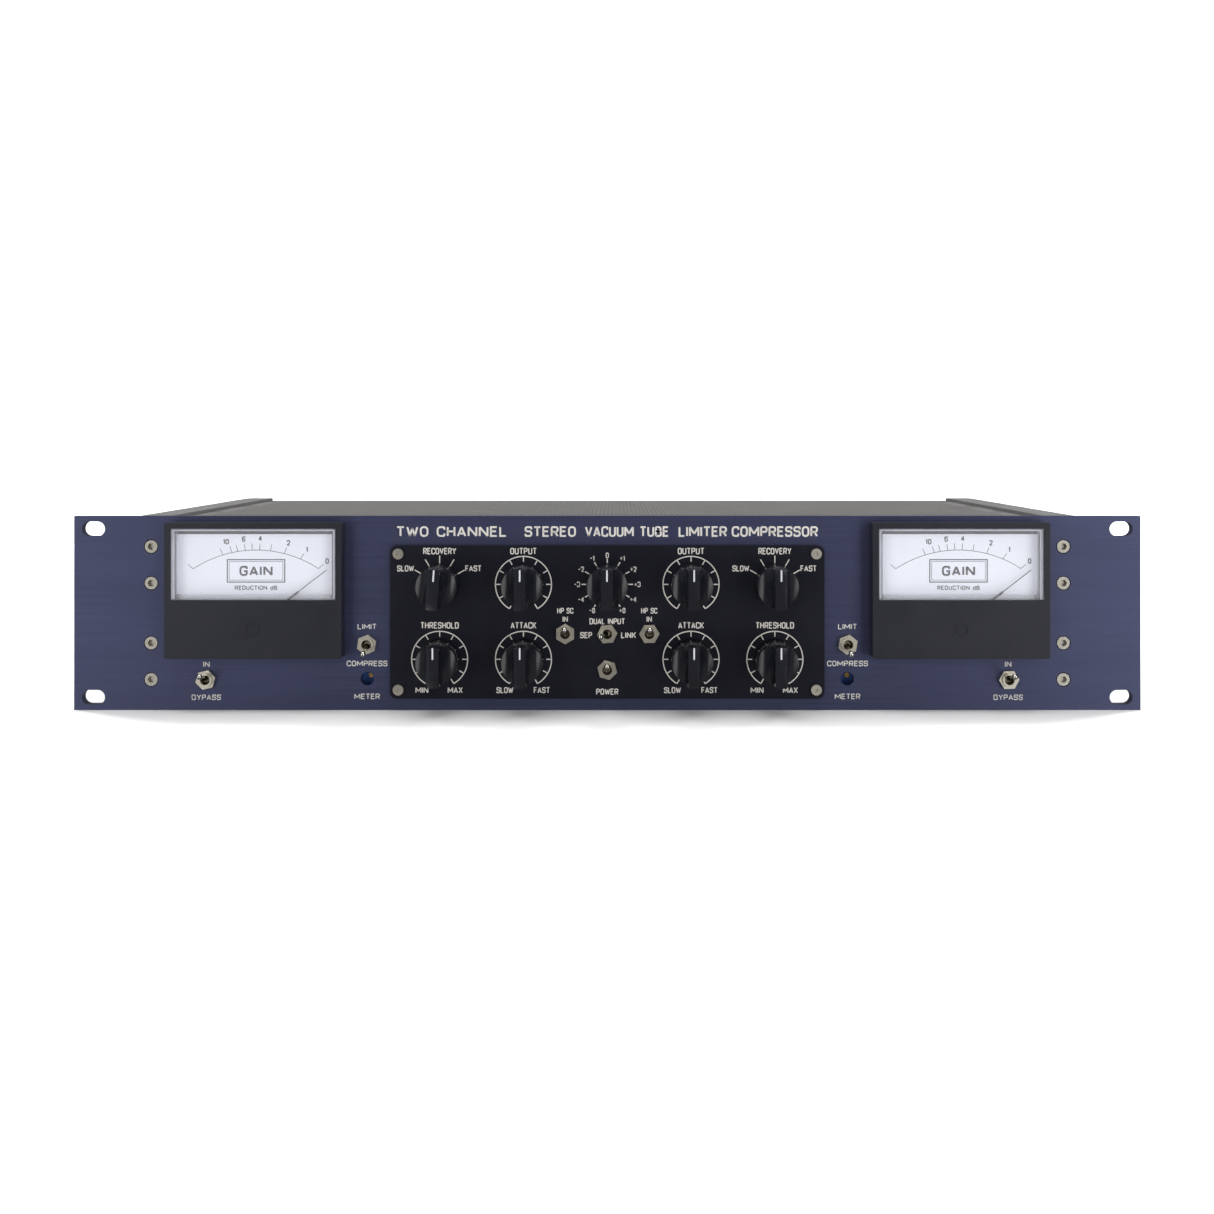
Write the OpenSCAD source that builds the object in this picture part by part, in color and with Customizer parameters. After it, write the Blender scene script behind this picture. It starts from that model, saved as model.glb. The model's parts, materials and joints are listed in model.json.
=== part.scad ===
// Two-unit, two-channel valve compressor for a 19 inch rack.
// +X is to the right seen from the front, +Y runs to the rear and +Z is up. The origin is the
// centre of the four rack slots, on the rear face of the front panel.

/* [Front panel] */
// Width across the rack ears
panel_w = 482.6; // [482:0.1:483]
// Height, two rack units less clearance
panel_h = 87.8; // [87.4:0.1:88.1]
// Thickness
panel_t = 4.76; // [4.5:0.01:5]
// Rack slot centres, across
slot_pitch_x = 465.1; // [464.6:0.1:465.6]
// Rack slot centres, up
slot_pitch_z = 76.2; // [75.8:0.1:76.6]
// Rack slot length, end to end
slot_l = 10.4; // [9.5:0.1:11.5]
// Rack slot width
slot_w = 6.6; // [6.2:0.1:7.1]

/* [Control plate] */
// Width of the black plate
plate_w = 196; // [194:1:198]
// Height of the black plate
plate_h = 69; // [68.4:0.2:69.6]
// Thickness
plate_t = 2; // [1.6:0.1:2.4]
// Height of its centre
plate_z = -3.85; // [-4.1:0.05:-3.6]

/* [Knobs] */
// Diameter of the round base
knob_d = 18.6; // [17.6:0.1:19.6]
// Height of the bar above the plate
knob_h = 25.4; // [20:0.2:27]
// Width of the bar
bar_w = 5; // [4:0.1:6]
// Column spacing
knob_pitch = 37.8; // [37:0.1:39]
// Height of the upper row
row_top = 13.2; // [12.7:0.1:13.6]
// Height of the lower row
row_low = -20.6; // [-21.1:0.1:-20.2]

/* [Meters] */
// Distance of each meter from the middle of the panel
meter_x = 158.4; // [156:0.1:160]
// Height of the meter's centre
meter_z = 10.87; // [10.5:0.01:11.2]
// Width of the bezel
meter_w = 79.2; // [78:0.1:80]
// Height of the bezel
meter_h = 60.9; // [60:0.1:61]
// How far the bezel stands off the panel
meter_t = 7.9; // [7.7:0.1:8.5]
// Needle length from its pivot
needle_r = 40.6; // [38:0.1:41]

/* [Chassis] */
// Depth behind the front panel
chassis_d = 204; // [196:1:260]
// Width over the side rails
chassis_w = 431.8; // [431:0.1:432.5]
// Width of each side rail
rail_w = 14.5; // [14:0.1:15.5]

/* [Hidden] */
$fn = 64;

// Small gap between separate solids of one node, and between a shaft and its bore
gap = 0.05;
// Gap between parts that pass without touching
clear = 0.3;
// Overshoot of cutting tools
eps = 1;

// Front panel
rail_screw_rows = [-30.1, -13.55, 13.55, 30.1];
rail_screw_dx = 5.05;
cap_head_r = 2.87;
cap_head_h = 3.5;
cap_thread_r = 1.75;
cap_hex_af = 2.78;
cap_recess_r = 3.25;
cap_recess_d = 3.6;
flush_head_r = 2.9;
flush_thread_r = 1.45;
drive_w = 0.6;
plate_corner_r = 3;
window_w = 179;
window_h = 61.6;
bypass_x = 181.4;
bypass_z = -30;
limit_x = 108.7;
limit_z = -14.1;
trim_x = 108.6;
trim_z = -29.7;
trim_hole_r = 3.05;
plate_screw_x = 94.2;
plate_screw_top = 30.85;
plate_screw_low = -30.45;
plate_tap_r = 1.3;
plate_clear_r = 1.4;
plate_head_r = 2.4;

// Chassis
rail_in = chassis_w / 2 - rail_w;
rail_top = 43.35;
floor_t = 2;
floor_low = -43.35;
floor_top = floor_low + floor_t;
cover_drop = 1.6;
cover_t = 1.5;
cover_top = rail_top - cover_drop;
cover_low = cover_top - cover_t;
rear_t = 2;
rail_l = chassis_d - rear_t;
rail_corner_r = 3;
ledge_w = 7.4;
ledge_t = 3;
rail_screw_x = rail_in + rail_screw_dx;
rail_wall = 3.5;
cover_screw_x = rail_in - 3.7;
floor_screw_x = rail_in + rail_screw_dx;
side_screw_rows = [15, 72, 130, 187];
vent_r = 4;
vent_pitch_x = 22;
vent_pitch_y = 19;
standoff_h = 8;
standoff_r = 3;

// Circuit board
board_x = [-72, 188];
board_y = [62, 176];
board_t = 1.6;
board_low = floor_top + standoff_h;
board_top = board_low + board_t;
board_screw_x = [-66, 58, 182];
board_screw_y = [68, 170];
tube_x = [24, 66, 108, 150];
tube_r = 10.4;
tube_dome_z = 46;
socket_h = 9;

// Knob shafts and the controls behind them
shaft_r = 3;
bush_r = 3.5;
bush_h = 3.2;
pot_r = 8.4;
pot_d = 9;
selector_r = 12.4;
selector_d = 30;
control_nut_af = 10;
control_nut_h = 2;
knob_lift = 0.6;
knob_recess_r = 6.6;
knob_recess_h = 3.8;
knob_draft = 0.4;
rim_z = 13.5;
scoop_r = 6.8;
shaft_end = 14.5;
grub_r = 1.5;
grub_z = 6.2;

// Toggles
lever_tilt = 14;
lever_h = 12.6;
sidechain_x = 18.95;
sidechain_z = -9;
power_z = -25.2;
lever_tip_r = 1.3;
lever_neck_r = 0.95;
lever_ball_r = 1.8;
pivot_depth = 1;
toggle_bush_r = 3.15;
toggle_bore_r = 2.2;
toggle_bush_h = 2.6;
toggle_nut_af = 7.94;
toggle_nut_h = 1.9;
toggle_w = 6.9;
toggle_l = 12.9;
toggle_d = 11;

// Meters, measured from the front face of the panel and the middle of the bezel
meter_wall = 2.2;
meter_front_t = 1.5;
meter_back_t = 1.5;
window_open_w = 74;
window_open_h = 31.95;
window_drop = 2.65;
pivot_dz = -5 - meter_z;
barrel_r = 20;
barrel_wall = 2;
barrel_l = 33;
barrel_z = 2;
barrel_dz = barrel_z - meter_z;
dial_w = 72;
dial_h = 50;
dial_t = 0.6;
needle_rest = 52.3;
needle_plane = 4.2;
thin_l = 16;
magnet_in_r = 7.4;
magnet_out_r = 10.8;
magnet_back = -20;
magnet_front = -6;
core_r = 4.6;
coil_r = 5.2;
coil_out_r = 6.6;
bridge_x = (magnet_in_r + magnet_out_r) / 2;
bridge_r = 1.2;

// Rear connectors, seen from the front
xlr_in_x = [-20, 80];
xlr_out_x = [30, 130];
jack_x = 172;
jack_rows = [-13, 13];
jack_r = 3.2;
inlet_x = -160;
fuse_x = -112;
post_x = -72;
xlr_shell_r = 11.8;
xlr_in_r = 9.6;
xlr_flange_w = 26;
xlr_flange_h = 31;
xlr_flange_t = 2;
xlr_screw_dx = 9.5;
xlr_screw_dz = 12;
pin_circle_r = 4.35;
pin_angles = [30, 150, 270];
inlet_screw_dx = 20;
inlet_cavity_w = 24;
inlet_cavity_h = 16;
inlet_cavity_d = 16;
contact_r = 1.2;
latch_travel = 1.5;
latch_dz = 13.6;
post_r = 2;
post_end_r = 1.8;
post_end_l = 6;
post_shoulder = 10.6;

// Name, column and row position, and resting turn of each knob
KNOBS = [
    ["knob_recovery_left", -2 * knob_pitch, row_top, -4],
    ["knob_output_left", -knob_pitch, row_top, 0],
    ["knob_dual_input", 0, row_top, 0],
    ["knob_output_right", knob_pitch, row_top, 0],
    ["knob_recovery_right", 2 * knob_pitch, row_top, 0],
    ["knob_threshold_left", -2 * knob_pitch, row_low, 0],
    ["knob_attack_left", -knob_pitch, row_low, 0],
    ["knob_attack_right", knob_pitch, row_low, 0],
    ["knob_threshold_right", 2 * knob_pitch, row_low, 0]
];

// Name, position, direction that the lever points to, height of the surface it sits on, turn of
// its nut
TOGGLES = [
    ["lever_bypass_left", -bypass_x, bypass_z, 0, 0, 14],
    ["lever_bypass_right", bypass_x, bypass_z, 0, 0, 2],
    ["lever_limit_left", -limit_x, limit_z, 180, 0, 22],
    ["lever_limit_right", limit_x, limit_z, 180, 0, 21],
    ["lever_sidechain_left", -sidechain_x, sidechain_z, 0, plate_t, 30],
    ["lever_sidechain_right", sidechain_x, sidechain_z, 0, plate_t, 1],
    ["lever_link", 0, sidechain_z, 90, plate_t, 5],
    ["lever_power", 0, power_z, 0, plate_t, 44]
];

SIDES = [["left", -1], ["right", 1]];

// Placement: z of the children points out of the front, out of the rear, or along the depth
module at_front(x, z, h = 0) {
    translate([x, -panel_t - h, z]) rotate([90, 0, 0]) children();
}

module at_rear(x, z) {
    translate([x, chassis_d, z]) rotate([90, 0, 180]) children();
}

module at_meter(side) {
    at_front(side * meter_x, meter_z) children();
}

// Basic shapes
module rounded_square(w, h, r) {
    square([w - 2 * r, h], center = true);
    square([w, h - 2 * r], center = true);
    for (sx = [-1, 1], sy = [-1, 1])
        translate([sx * (w / 2 - r), sy * (h / 2 - r)]) circle(r);
}

module rounded_plate(w, h, t, r) {
    linear_extrude(t) rounded_square(w, h, r);
}

module block(w, h, z0, z1) {
    translate([-w / 2, -h / 2, z0]) cube([w, h, z1 - z0]);
}

// A flat bar along y, centred on z = 0
module block_between(w, y0, y1, t) {
    translate([-w / 2, y0, -t / 2]) cube([w, y1 - y0, t]);
}

module rod(r, z0, z1) {
    translate([0, 0, z0]) cylinder(h = z1 - z0, r = r);
}

module tube(r_in, r_out, z0, z1) {
    difference() {
        rod(r_out, z0, z1);
        rod(r_in, z0 - eps, z1 + eps);
    }
}

module hexagon(af, z0, z1) {
    translate([0, 0, z0]) cylinder(h = z1 - z0, r = af / 2 / cos(30), $fn = 6);
}

module hex_nut(af, bore_r, h) {
    difference() {
        hexagon(af, 0, h);
        rod(bore_r, -eps, h + eps);
    }
}

module slot_cut(l, w, t) {
    translate([0, 0, -t / 2]) {
        for (s = [-1, 1]) translate([s * (l - w) / 2, 0, 0]) cylinder(h = t, r = w / 2);
        translate([-(l - w) / 2, -w / 2, 0]) cube([l - w, w, t]);
    }
}

// Fasteners, head above z = 0 and thread below it
module cap_screw(head_r, head_h, thread_r, l, hex_af) {
    difference() {
        union() {
            rod(head_r, 0, head_h);
            rod(thread_r, -l, eps / 2);
        }
        hexagon(hex_af, head_h * 0.45, head_h + eps);
    }
}

module pan_screw(head_r, head_h, thread_r, l) {
    difference() {
        union() {
            rod(head_r, 0, head_h);
            rod(thread_r, -l, eps / 2);
        }
        block(head_r * 1.3, drive_w, head_h * 0.5, head_h + eps);
        block(drive_w, head_r * 1.3, head_h * 0.5, head_h + eps);
    }
}

// Flush screw: the cone's large end is at z = 0
module flush_screw(l) {
    cone_h = flush_head_r - flush_thread_r;
    difference() {
        union() {
            translate([0, 0, -cone_h]) cylinder(h = cone_h, r1 = flush_thread_r, r2 = flush_head_r);
            rod(flush_thread_r, -l, gap - cone_h);
        }
        block(flush_head_r * 1.2, drive_w, -drive_w, eps);
        block(drive_w, flush_head_r * 1.2, -drive_w, eps);
    }
}

module flush_seat(t) {
    cone_h = flush_head_r - flush_thread_r;
    translate([0, 0, -cone_h - gap])
        cylinder(h = cone_h + 2 * gap, r1 = flush_thread_r + gap, r2 = flush_head_r + 2 * gap);
    rod(flush_thread_r + gap, -t - eps, -eps / 2);
}

// ---- Front ----

module front_panel() {
    color("darkslateblue")
    difference() {
        translate([-panel_w / 2, -panel_t, -panel_h / 2]) cube([panel_w, panel_t, panel_h]);
        for (sx = [-1, 1], sz = [-1, 1])
            at_front(sx * slot_pitch_x / 2, sz * slot_pitch_z / 2) slot_cut(slot_l, slot_w, 4 * panel_t);
        for (sx = [-1, 1], z = rail_screw_rows) at_front(sx * rail_screw_x, z) {
            rod(cap_recess_r, -cap_recess_d, eps);
            rod(cap_thread_r + gap, -panel_t - eps, eps);
        }
        for (sx = [-1, 1]) {
            at_front(sx * meter_x, barrel_z) rod(barrel_r + clear, -panel_t - eps, eps);
            at_front(sx * trim_x, trim_z) rod(trim_hole_r, -panel_t - eps, eps);
            at_front(sx * bypass_x, bypass_z) rod(toggle_bush_r + gap, -panel_t - eps, eps);
            at_front(sx * limit_x, limit_z) rod(toggle_bush_r + gap, -panel_t - eps, eps);
        }
        at_front(0, plate_z) block(window_w, window_h, -panel_t - eps, eps);
        plate_screw_places() rod(plate_tap_r, -panel_t - eps, eps);
    }
}

module plate_screw_places() {
    for (sx = [-1, 1], z = [plate_screw_low, plate_screw_top])
        at_front(sx * plate_screw_x, plate_z + z) children();
}

module control_plate() {
    color("black")
    difference() {
        at_front(0, plate_z) rounded_plate(plate_w, plate_h, plate_t, plate_corner_r);
        for (k = KNOBS) at_front(k[1], k[2]) rod(bush_r + gap, -eps, plate_t + eps);
        for (t = TOGGLES)
            if (t[4] > 0) at_front(t[1], t[2]) rod(toggle_bush_r + gap, -eps, plate_t + eps);
        plate_screw_places() rod(plate_clear_r, -eps, plate_t + eps);
    }
}

module panel_screws() {
    color("silver")
    for (sx = [-1, 1], z = rail_screw_rows)
        at_front(sx * rail_screw_x, z, -cap_recess_d)
            cap_screw(cap_head_r, cap_head_h, cap_thread_r, 12, cap_hex_af);
}

module control_plate_screws() {
    color("silver")
    plate_screw_places() translate([0, 0, plate_t])
        cap_screw(plate_head_r, 1.4, plate_tap_r - gap, plate_t + 3.5, 1.6);
}

// ---- Chassis ----

module rail_section() {
    difference() {
        union() {
            translate([rail_in, floor_top]) square([rail_w, rail_top - floor_top]);
            translate([rail_in - ledge_w, cover_low - ledge_t]) square([ledge_w + eps, ledge_t]);
        }
        for (p = [[-25, -18.6], [-8.5, 8.5], [18.6, 25]])
            translate([rail_in - eps, p[0]]) square([rail_w - rail_wall + eps, p[1] - p[0]]);
    }
}

module rail_corner() {
    x = chassis_w / 2 - rail_corner_r;
    y = rail_l - rail_corner_r;
    difference() {
        translate([x, y, floor_top - eps])
            cube([rail_corner_r + eps, rail_corner_r + eps, rail_top - floor_top + 2 * eps]);
        translate([x, y, floor_top - 2 * eps])
            cylinder(h = rail_top - floor_top + 4 * eps, r = rail_corner_r);
    }
}

module side_rail() {
    color("silver")
    difference() {
        translate([0, rail_l, 0]) rotate([90, 0, 0]) linear_extrude(rail_l) rail_section();
        rail_corner();
        for (z = rail_screw_rows) translate([rail_screw_x, 0, z]) rotate([-90, 0, 0]) {
            rod(cap_thread_r + gap, -eps, 14);
            rod(flush_thread_r + gap, rail_l - 10, rail_l + eps);
        }
        for (y = side_screw_rows) {
            translate([cover_screw_x, y, cover_low + eps / 2])
                rod(flush_thread_r + gap, -ledge_t - eps, 0);
            translate([floor_screw_x, y, floor_top]) rod(flush_thread_r + gap, -eps, 8);
        }
    }
}

module side_rail_right() {
    side_rail();
}

module side_rail_left() {
    mirror([1, 0, 0]) side_rail();
}

module cover_screw_places() {
    for (sx = [-1, 1], y = side_screw_rows) translate([sx * cover_screw_x, y, cover_top]) children();
}

module floor_screw_places() {
    for (sx = [-1, 1], y = side_screw_rows)
        translate([sx * floor_screw_x, y, floor_low]) rotate([180, 0, 0]) children();
}

module floor_plate() {
    w = chassis_w;
    color("silver")
    difference() {
        union() {
            translate([-w / 2, 0.5, floor_low]) cube([w, chassis_d - 0.5, floor_t]);
            for (x = board_screw_x, y = board_screw_y)
                translate([x, y, floor_top - eps / 2]) cylinder(h = standoff_h + eps / 2, r = standoff_r);
        }
        floor_screw_places() flush_seat(floor_t);
        for (x = board_screw_x, y = board_screw_y)
            translate([x, y, board_low]) rod(flush_thread_r + gap, -6, eps);
    }
}

module vent_pattern() {
    columns = 17;
    rows = 9;
    for (j = [0 : rows - 1], i = [0 : columns - 1 - j % 2])
        translate([(i - (columns - 1 - j % 2) / 2) * vent_pitch_x, 25 + j * vent_pitch_y]) circle(vent_r);
}

module top_cover() {
    color("darkgray")
    difference() {
        translate([0, 0, cover_low]) linear_extrude(cover_t) difference() {
            translate([-rail_in + clear, clear]) square([2 * (rail_in - clear), chassis_d - clear]);
            vent_pattern();
        }
        cover_screw_places() flush_seat(cover_t);
    }
}

// Small screws of the rear panel's edge, as places whose z points out of the rear
module rear_edge_places() {
    for (sx = [-1, 1], z = rail_screw_rows) at_rear(sx * rail_screw_x, z) children();
}

module flange_places() {
    for (x = concat(xlr_in_x, xlr_out_x), s = [-1, 1])
        at_rear(x, 0) translate([s * xlr_screw_dx, s * xlr_screw_dz, 0]) children();
    for (s = [-1, 1]) at_rear(inlet_x, 0) translate([s * inlet_screw_dx, 0, 0]) children();
}

module rear_panel() {
    color("silver")
    difference() {
        translate([-chassis_w / 2 + rail_corner_r, rail_l, floor_top])
            cube([chassis_w - 2 * rail_corner_r, rear_t, cover_low - floor_top]);
        for (x = concat(xlr_in_x, xlr_out_x)) at_rear(x, 0) rod(xlr_shell_r + clear, -rear_t - eps, eps);
        for (z = jack_rows) at_rear(jack_x, z) rod(4.9, -rear_t - eps, eps);
        at_rear(inlet_x, 0) block(27.6, 20.2, -rear_t - eps, eps);
        at_rear(fuse_x, 0) rod(6.3, -rear_t - eps, eps);
        at_rear(post_x, 0) rod(post_r + 2 * gap, -rear_t - eps, eps);
        rear_edge_places() rod(flush_thread_r + gap, -rear_t - eps, eps);
        flange_places() rod(flush_thread_r + gap, -rear_t - eps, eps);
    }
}

module chassis_screws() {
    color("dimgray") {
        cover_screw_places() flush_screw(4);
        floor_screw_places() flush_screw(7);
        rear_edge_places() pan_screw(2.6, 1.6, flush_thread_r, 9);
        flange_places() translate([0, 0, xlr_flange_t]) pan_screw(2.2, 1.2, flush_thread_r, 8);
        for (x = board_screw_x, y = board_screw_y)
            translate([x, y, board_top]) pan_screw(2.6, 1.6, flush_thread_r, 6);
    }
}

// ---- Knobs ----

// Bar knob: a round base that narrows through concave sides to a flat bar
module knob_profile() {
    r = knob_d / 2 + eps;
    difference() {
        translate([-r, knob_lift]) square([2 * r, knob_h - knob_lift]);
        for (s = [-1, 1]) {
            translate([s * (bar_w / 2 + scoop_r), rim_z + scoop_r]) circle(scoop_r);
            translate([s > 0 ? bar_w / 2 : -bar_w / 2 - 2 * scoop_r, rim_z + scoop_r])
                square([2 * scoop_r, knob_h]);
        }
    }
}

module knob_body() {
    difference() {
        intersection() {
            cylinder(h = knob_h, r1 = knob_d / 2, r2 = knob_d / 2 - knob_draft);
            translate([0, knob_d, 0]) rotate([90, 0, 0]) linear_extrude(2 * knob_d) knob_profile();
        }
        rod(knob_recess_r, -eps, knob_recess_h);
        rod(shaft_r + gap, 0, shaft_end + 0.5);
        translate([0, 0, grub_z]) rotate([-90, 0, 0]) rod(grub_r + gap, 0, knob_d);
    }
}

module knob(k) {
    at_front(k[1], k[2], plate_t) rotate([0, 0, k[3]]) {
        color("black") knob_body();
        color("silver") rod(shaft_r, -plate_t - 4, shaft_end);
        color("dimgray") translate([0, 0, grub_z]) rotate([-90, 0, 0]) rod(grub_r, shaft_r + gap, 8.2);
    }
}

module rotary_control_bodies() {
    color("darkgray")
    for (k = KNOBS) at_front(k[1], k[2]) {
        is_selector = k[1] == 0;
        body_r = is_selector ? selector_r : pot_r;
        body_d = is_selector ? selector_d : pot_d;
        difference() {
            union() {
                rod(body_r, -body_d, -gap);
                rod(bush_r, -2 * gap, plate_t + bush_h);
                for (i = [-1 : 1])
                    translate([i * 5, -body_r - 2, 0]) block(1.2, 5, -body_d + 1.5, -body_d + 2);
            }
            rod(shaft_r + gap, -4.5, plate_t + bush_h + eps);
        }
    }
}

module bushing_nuts() {
    color("silver") {
        for (k = KNOBS) at_front(k[1], k[2], plate_t) hex_nut(control_nut_af, bush_r + gap, control_nut_h);
        for (t = TOGGLES)
            at_front(t[1], t[2], t[4]) rotate([0, 0, t[5]])
                hex_nut(toggle_nut_af, toggle_bush_r + gap, toggle_nut_h);
    }
}

// ---- Toggles ----

// The lever turns about its ball, a little below the panel surface
module lever(t) {
    reach = lever_h + pivot_depth - lever_tip_r;
    at_front(t[1], t[2], t[4] - pivot_depth) rotate([0, 0, t[3]]) rotate([-lever_tilt, 0, 0])
        color("silver") {
            sphere(lever_ball_r);
            cylinder(h = reach, r1 = lever_neck_r, r2 = lever_tip_r);
            translate([0, 0, reach]) sphere(lever_tip_r);
            rod(0.6, -3, 0);
        }
}

module toggle_switch_bodies() {
    color("firebrick")
    for (t = TOGGLES) at_front(t[1], t[2]) rotate([0, 0, t[3]]) {
        back = t[4] > 0 ? -gap : -panel_t - gap;
        difference() {
            union() {
                block(toggle_w, toggle_l, back - toggle_d, back);
                rod(toggle_bush_r, back - gap, t[4] + toggle_bush_h);
                for (i = [-1 : 1])
                    translate([0, 4.7 * i, 0]) block(1.5, 0.8, back - toggle_d - 4, back - toggle_d + gap);
            }
            rod(toggle_bore_r, t[4] - pivot_depth - 4.4, t[4] + toggle_bush_h + eps);
        }
    }
}

// ---- Meters ----

module window_place() {
    translate([0, meter_h / 2 - window_drop - window_open_h / 2, 0]) children();
}

module meter_case(side) {
    inner_w = meter_w - 2 * meter_wall;
    inner_h = meter_h - 2 * meter_wall;
    color("dimgray") at_meter(side)
    difference() {
        union() {
            rounded_plate(meter_w, meter_h, meter_t, 1);
            translate([0, barrel_dz, 0]) rod(barrel_r, -barrel_l, eps);
            for (s = [-1, 1]) translate([s * 12, barrel_dz, 0]) rod(2, -barrel_l - 8, -barrel_l + eps);
        }
        block(inner_w, inner_h, meter_back_t, meter_t - meter_front_t);
        window_place() block(window_open_w, window_open_h, meter_t - 2 * meter_front_t, meter_t + eps);
        translate([0, barrel_dz, 0])
            rod(barrel_r - barrel_wall, -barrel_l + barrel_wall, meter_back_t + eps);
    }
}

// Clear moulding: a front plate with walls that run back to the dial at the top and sides
module meter_window(side) {
    rim = 1.6;
    w = window_open_w - 2 * gap;
    h = window_open_h - 2 * gap;
    color("lightcyan", 0.4) at_meter(side) window_place()
    difference() {
        block(w, h, meter_back_t + dial_t + 2 * gap, meter_t - clear);
        translate([0, -rim, 0]) block(w - 2 * rim, h, 0, meter_t - meter_front_t - clear);
    }
}

module meter_dial(side) {
    color("white") at_meter(side) translate([0, 0, meter_back_t + gap])
    difference() {
        rounded_plate(dial_w, dial_h, dial_t, 1);
        translate([0, pivot_dz, 0]) block(2 * (bridge_x + bridge_r + clear), 6.4, -eps, eps * 2);
        translate([0, pivot_dz, 0]) rod(magnet_in_r, -eps, eps * 2);
    }
}

module meter_movement(side) {
    bridge_z = 5.2;
    strip_w = 2 * (bridge_x + bridge_r);
    color("steelblue") at_meter(side) translate([0, pivot_dz, 0]) {
        tube(magnet_in_r, magnet_out_r, magnet_back, magnet_front);
        rod(core_r, magnet_back + 0.9, magnet_front - 0.9);
        for (s = [-1, 1])
            translate([0, s * (core_r + magnet_in_r) / 2, 0]) block(2, magnet_in_r - core_r + 1, -15, -11);
        difference() {
            union() {
                block(strip_w, 5, bridge_z, bridge_z + 0.9);
                for (s = [-1, 1])
                    translate([s * bridge_x, 0, 0]) rod(bridge_r, magnet_front - eps, bridge_z + gap);
            }
            rod(0.9, bridge_z - eps, bridge_z + 0.6);
        }
        difference() {
            union() {
                block(strip_w, 6, magnet_back - 4.6, magnet_back - 3.2);
                for (s = [-1, 1])
                    translate([s * bridge_x, 0, 0]) rod(bridge_r, magnet_back - 3.5, magnet_back + eps);
            }
            rod(0.9, magnet_back - 4, magnet_back - 2);
        }
    }
}

// Needle, counterweight and moving coil, turned to their rest at the right of the scale
module needle(side) {
    coil_l = magnet_front - magnet_back + 1.4;
    at_meter(side) translate([0, pivot_dz, 0]) rotate([0, 0, -needle_rest]) {
        color("black") {
            translate([0, 0, needle_plane]) {
                block_between(0.9, 1.5, needle_r - thin_l, 0.4);
                block_between(0.34, needle_r - thin_l - gap, needle_r, 0.4);
            }
            rod(2.2, needle_plane - 0.6, needle_plane + 0.5);
            translate([0, -8.1, 0]) block(3, 3.2, 3, 4.8);
            translate([0, -4, 0]) block(1.2, 6, needle_plane - 0.4, needle_plane + 0.2);
            rod(0.8, magnet_front + 0.2, 5.6);
            rod(0.8, magnet_back - 3.8, magnet_back - 0.2);
        }
        color("peru") difference() {
            block(2 * coil_out_r, 2, magnet_back - 0.7, magnet_back - 0.7 + coil_l);
            block(2 * coil_r, 3, magnet_back + 0.4, magnet_front - 0.4);
        }
    }
}

// Square multi-turn trimmer behind its access hole
module meter_trimmers() {
    color("royalblue")
    for (sx = [-1, 1]) at_front(sx * trim_x + 0.8, trim_z + 0.8, -panel_t) difference() {
        block(9.5, 9.5, -8, -2);
        rod(1.15, -6, 0);
    }
}

module trim_screw(side) {
    color("gold") at_front(side * trim_x + 0.8, trim_z + 0.8, -panel_t) difference() {
        rod(1.1, -5.8, -0.8);
        block(3, 0.5, -1.4, 0);
    }
}

// ---- Inside ----

module power_transformer() {
    toroid_r = 48;
    core_hole_r = 17;
    toroid_h = 40;
    washer_r = 34;
    washer_t = 2;
    bolt_r = 3;
    translate([-137, 118, floor_top]) {
        color("darkgoldenrod") rotate_extrude()
            translate([(toroid_r + core_hole_r) / 2, washer_t + toroid_h / 2])
                rounded_square(toroid_r - core_hole_r, toroid_h, 8);
        color("silver") tube(bolt_r + gap, washer_r, 0, washer_t - gap);
        color("silver") tube(bolt_r + gap, washer_r, washer_t + gap + toroid_h, 2 * washer_t + toroid_h);
        color("dimgray") rod(bolt_r, 0, 4 * washer_t + toroid_h);
    }
}

module signal_transformers() {
    can = 31;
    color("silver")
    for (x = [44, 84, 124, 164]) translate([x, 150, board_top]) rounded_plate(can, can, 34, 2);
}

module circuit_board() {
    color("darkgreen")
    difference() {
        translate([board_x[0], board_y[0], board_low])
            cube([board_x[1] - board_x[0], board_y[1] - board_y[0], board_t]);
        for (x = board_screw_x, y = board_screw_y)
            translate([x, y, board_low]) rod(flush_thread_r + gap, -eps, 2 * board_t);
    }
}

module tube_places() {
    for (x = tube_x) translate([x, 88, board_top]) children();
}

module tube_pin_places() {
    for (i = [0 : 8]) rotate([0, 0, 36 * i]) translate([5.95, 0, 0]) children();
}

module tube_sockets() {
    color("ivory") tube_places() difference() {
        rod(11.5, 0, socket_h);
        tube_pin_places() rod(0.6, 3, socket_h + eps);
    }
}

module vacuum_tubes() {
    color("lightcyan", 0.6) tube_places() {
        rod(tube_r, socket_h + gap, tube_dome_z);
        translate([0, 0, tube_dome_z]) sphere(tube_r);
        tube_pin_places() rod(0.5, 3.5, socket_h + 0.5);
    }
}

module board_parts() {
    color("navy") for (x = [-52, -22], y = [84, 112, 140]) translate([x, y, board_top]) rod(12, 0, 42);
    color("black") for (x = tube_x)
        translate([x - 9, 121, board_top + 7]) rotate([0, 90, 0]) rod(6, 0, 18);
    color("dimgray") translate([6, 152, board_top]) difference() {
        block(24, 26, 0, 32);
        for (i = [-2 : 2]) translate([4.6 * i, 0, 0]) block(2.4, 28, 5, 33);
    }
}

// Wires bundled to a square section, along a route whose stretches follow the axes
module run(points, r) {
    for (i = [0 : len(points) - 2]) {
        a = points[i];
        b = points[i + 1];
        low = [for (j = [0 : 2]) min(a[j], b[j]) - r];
        high = [for (j = [0 : 2]) max(a[j], b[j]) + r];
        translate(low) cube(high - low);
    }
}

mains_route = [
    [inlet_x, 172, 0], [inlet_x, 172, 30], [-190, 172, 30], [-190, 46, 30], [-12, 46, 30],
    [-12, 46, -26], [-12, 20, -26]
];
signal_route = [[10, 46, 14], [193, 46, 14], [193, 170, 14]];

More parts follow.
